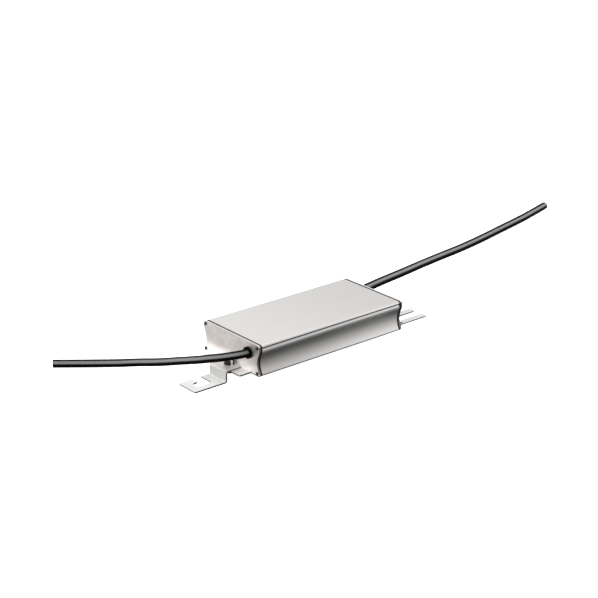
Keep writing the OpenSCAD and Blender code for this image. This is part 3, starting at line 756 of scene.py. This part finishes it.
def planted_tree():
    """The same small piece on each point, turned to face one way and spun by chance."""
    tree = Tree(
        "planted",
        {
            "Piece": "NodeSocketObject",
            "Turn": "NodeSocketVector",
            "Spin": "NodeSocketFloat",
            "Finish": "NodeSocketMaterial",
        },
    )
    piece = tree.node("GeometryNodeObjectInfo", None, {"Object": tree.size("Piece")})
    sockets = {2: 0.0, 3: tree.size("Spin")}
    chance = tree.node("FunctionNodeRandomValue", {"data_type": "FLOAT"}, sockets)
    spin = tree.node("ShaderNodeCombineXYZ", None, {"Z": chance[1]})
    stood = tree.node(
        "GeometryNodeInstanceOnPoints",
        None,
        {
            "Points": tree.given.outputs["Geometry"],
            "Instance": piece["Geometry"],
            "Rotation": tree.size("Turn"),
        },
    )
    sockets = {"Instances": stood["Instances"], "Rotation": spin["Vector"]}
    spun = tree.node("GeometryNodeRotateInstances", None, sockets)
    tree.close(spun["Instances"], tree.size("Finish"))
    return tree


planted = planted_tree()


def plant(name, mesh, points, facing, spin, finish):
    """Copies of a mesh on points, their +Z along facing."""
    pattern = shown(name + "_pattern", mesh)
    turn = facing.to_track_quat("Z", "Y").to_euler()
    values = {"Piece": pattern, "Turn": tuple(turn), "Spin": spin, "Finish": finish}
    piece = planted.grow(name, points_mesh(name + "_points", points), values)
    bpy.data.objects.remove(pattern)
    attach(piece, "root")
    return piece


SCREW_Y = 39.5
SCREW_ROWS = (2.8, 28.1)


def plate_screws(end, plate_x, outward):
    """Four screws whose shanks reach as deep into the housing as the CAD's plain ones."""
    node = end + "_plate_screws"
    corners = [nodes[node].matrix_world @ Vector(corner) for corner in nodes[node].bound_box]
    depth = max((plate_x * MM - corner.x) * outward for corner in corners)
    points = [
        Vector((plate_x, side * SCREW_Y, BASE_Z + row)) * MM
        for side in (-1, 1)
        for row in SCREW_ROWS
    ]
    facing = Vector((outward, 0, 0))
    mesh = screw_mesh(depth / MM)
    piece = plant(end + "_pan_screws", mesh, points, facing, tau, black_zinc)
    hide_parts(node)


plate_screws("front", FRONT_X, -1)
plate_screws("rear", REAR_X, 1)


STRAND_RING = 6
CORE_SIDES = 28
STRAND_SIDES = 12
CORE_SLACK = 1.04
COPPER_SHARE = 0.62
CUT_AT = 0.2


def cut_end(end, line, core_d, finishes):
    """The cores and copper strands that show where a cable was cut off."""
    way = (line[-1] - line[-2]).normalized()
    across = way.orthogonal().normalized()
    ring = core_d * MM / 2 / sin(pi / len(finishes)) * CORE_SLACK
    radius = core_d / 2
    copper_r = COPPER_SHARE * radius
    strand_r = copper_r / 3
    core = [
        (0, -0.8), (radius, -0.8), (radius, CUT_AT), (radius - 0.08, CUT_AT + 0.08),
        (copper_r + 0.06, CUT_AT + 0.08), (copper_r, CUT_AT), (0, CUT_AT),
    ]
    strand = [(0, -0.4), (strand_r, -0.4), (strand_r, 0.45), (0.7 * strand_r, 0.52), (0, 0.54)]
    pieces = []
    centres = []
    for k, finish in enumerate(finishes):
        centre = line[-1] + Matrix.Rotation(tau * k / len(finishes), 3, way) @ across * ring
        mesh = lathe(core, CORE_SIDES)
        pieces.append(plant(f"{end}_core_{k + 1}", mesh, [centre], way, 0, finish))
        centres.append(centre)
        for j in range(STRAND_RING):
            spin = Matrix.Rotation(tau * j / STRAND_RING, 3, way)
            centres.append(centre + spin @ across * strand_r * 2 * MM)
    mesh = lathe(strand, STRAND_SIDES)
    pieces.append(plant(end + "_strands", mesh, centres, way, 0, bare_copper))
    return pieces


def make_cable(end, route, diameter, finish, core_d, finishes):
    line = laid_route(route)
    values = {"Radius": diameter * MM / 2, "Step": SHEATH_STEP * MM, "Finish": finish}
    seed = points_mesh(end + "_line", line, joined=True)
    piece = sheath_maker.grow(end + "_cable_sheath", seed, values)
    piece.data.set_sharp_from_angle(angle=SHEATH_SHARP)
    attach(piece, "root")
    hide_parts(end + "_cable")
    length_of(line)
    cut_end(end, line, core_d, finishes)


sheath_maker = sheath_tree()
mains_cores = [brown_core, blue_core, green_core]
output_cores = [red_core, black_core]
make_cable("front", FRONT_ROUTE, FRONT_CABLE_D, front_sheath, FRONT_CORE_D, mains_cores)
make_cable("rear", REAR_ROUTE, REAR_CABLE_D, rear_sheath, REAR_CORE_D, output_cores)


# Floor and light

FLOOR_HALF = 9


def make_floor():
    """A floor that shines by itself, so that it stays white, and lights nothing."""
    mesh = bpy.data.meshes.new("floor")
    corners = [(x * FLOOR_HALF, y * FLOOR_HALF, 0) for x, y in ((-1, -1), (1, -1), (1, 1), (-1, 1))]
    mesh.from_pydata(corners, [], [(0, 1, 2, 3)])
    floor = shown("floor", mesh)
    f = Finish("pale_floor", Roughness=0.9, Specular_IOR_Level=0.1, Emission_Strength=1)
    f.give("Emission Color", grey(1))
    f.give("Base Color", f.mixed(f.grain(900), grey(0.9), grey(0.92)))
    paint(floor, f.material)
    floor.visible_glossy = False
    floor.visible_diffuse = False


def make_light(name, at, aim, size, power, mirrored=True):
    """A soft box; one that isn't mirrored lights surfaces without showing in their reflections."""
    lamp = bpy.data.lights.new(name, "AREA")
    lamp.shape = "RECTANGLE"
    lamp.size, lamp.size_y = size
    lamp.energy = power
    light = bpy.data.objects.new(name, lamp)
    light.location = at
    light.rotation_euler = (Vector(aim) - Vector(at)).to_track_quat("-Z", "Y").to_euler()
    light.visible_camera = False
    light.visible_glossy = mirrored
    scene.collection.objects.link(light)


SKY_LOW = -0.75
SKY_HIGH = 0.5
SKY_DARK = 0
SKY_BRIGHT = 0.96
CARD_SIDE = (-0.64, 0.68, -0.36)
CARD_EDGE = 0.2
CARD_MIDDLE = 0.95
CARD_BRIGHT = 0.5


def make_sky():
    """A studio tent, dark underfoot and bright overhead, with a pale card on the left."""
    world = bpy.data.worlds.new("studio")
    world.use_nodes = True
    tree = world.node_tree

    def node(kind, **settings):
        made = tree.nodes.new(kind)
        for key, value in settings.items():
            setattr(made, key, value)
        return made

    def ramp(value, low, high, dark, bright, **settings):
        made = node("ShaderNodeMapRange", **settings)
        ends = {"From Min": low, "From Max": high, "To Min": dark, "To Max": bright}
        for key, end in ends.items():
            made.inputs[key].default_value = end
        tree.links.new(value, made.inputs["Value"])
        return made.outputs["Result"]

    facing = node("ShaderNodeTexCoord").outputs["Generated"]
    split = node("ShaderNodeSeparateXYZ")
    tree.links.new(facing, split.inputs[0])
    tent = ramp(split.outputs["Z"], SKY_LOW, SKY_HIGH, SKY_DARK, SKY_BRIGHT)
    towards = node("ShaderNodeVectorMath", operation="DOT_PRODUCT")
    tree.links.new(facing, towards.inputs[0])
    towards.inputs[1].default_value = CARD_SIDE
    likeness = towards.outputs["Value"]
    smooth = {"interpolation_type": "SMOOTHSTEP"}
    card = ramp(likeness, CARD_EDGE, CARD_MIDDLE, 0, CARD_BRIGHT, **smooth)
    both = node("ShaderNodeMath", operation="ADD")
    tree.links.new(tent, both.inputs[0])
    tree.links.new(card, both.inputs[1])
    tree.links.new(both.outputs[0], tree.nodes["Background"].inputs["Color"])
    scene.world = world


make_floor()
make_sky()
make_light("overhead", (-0.3, -0.35, 1.6), (0, 0, 0), (0.9, 0.9), 4.5)
make_light("left_box", (-1.35, 0.45, 0.75), (-0.1, 0.02, 0.02), (1.2, 1.8), 20, mirrored=False)
make_light("right_box", (1.65, 0.25, 0.62), (0.25, 0.1, 0.02), (0.5, 1.1), 20, mirrored=False)
scene.view_settings.view_transform = "Standard"
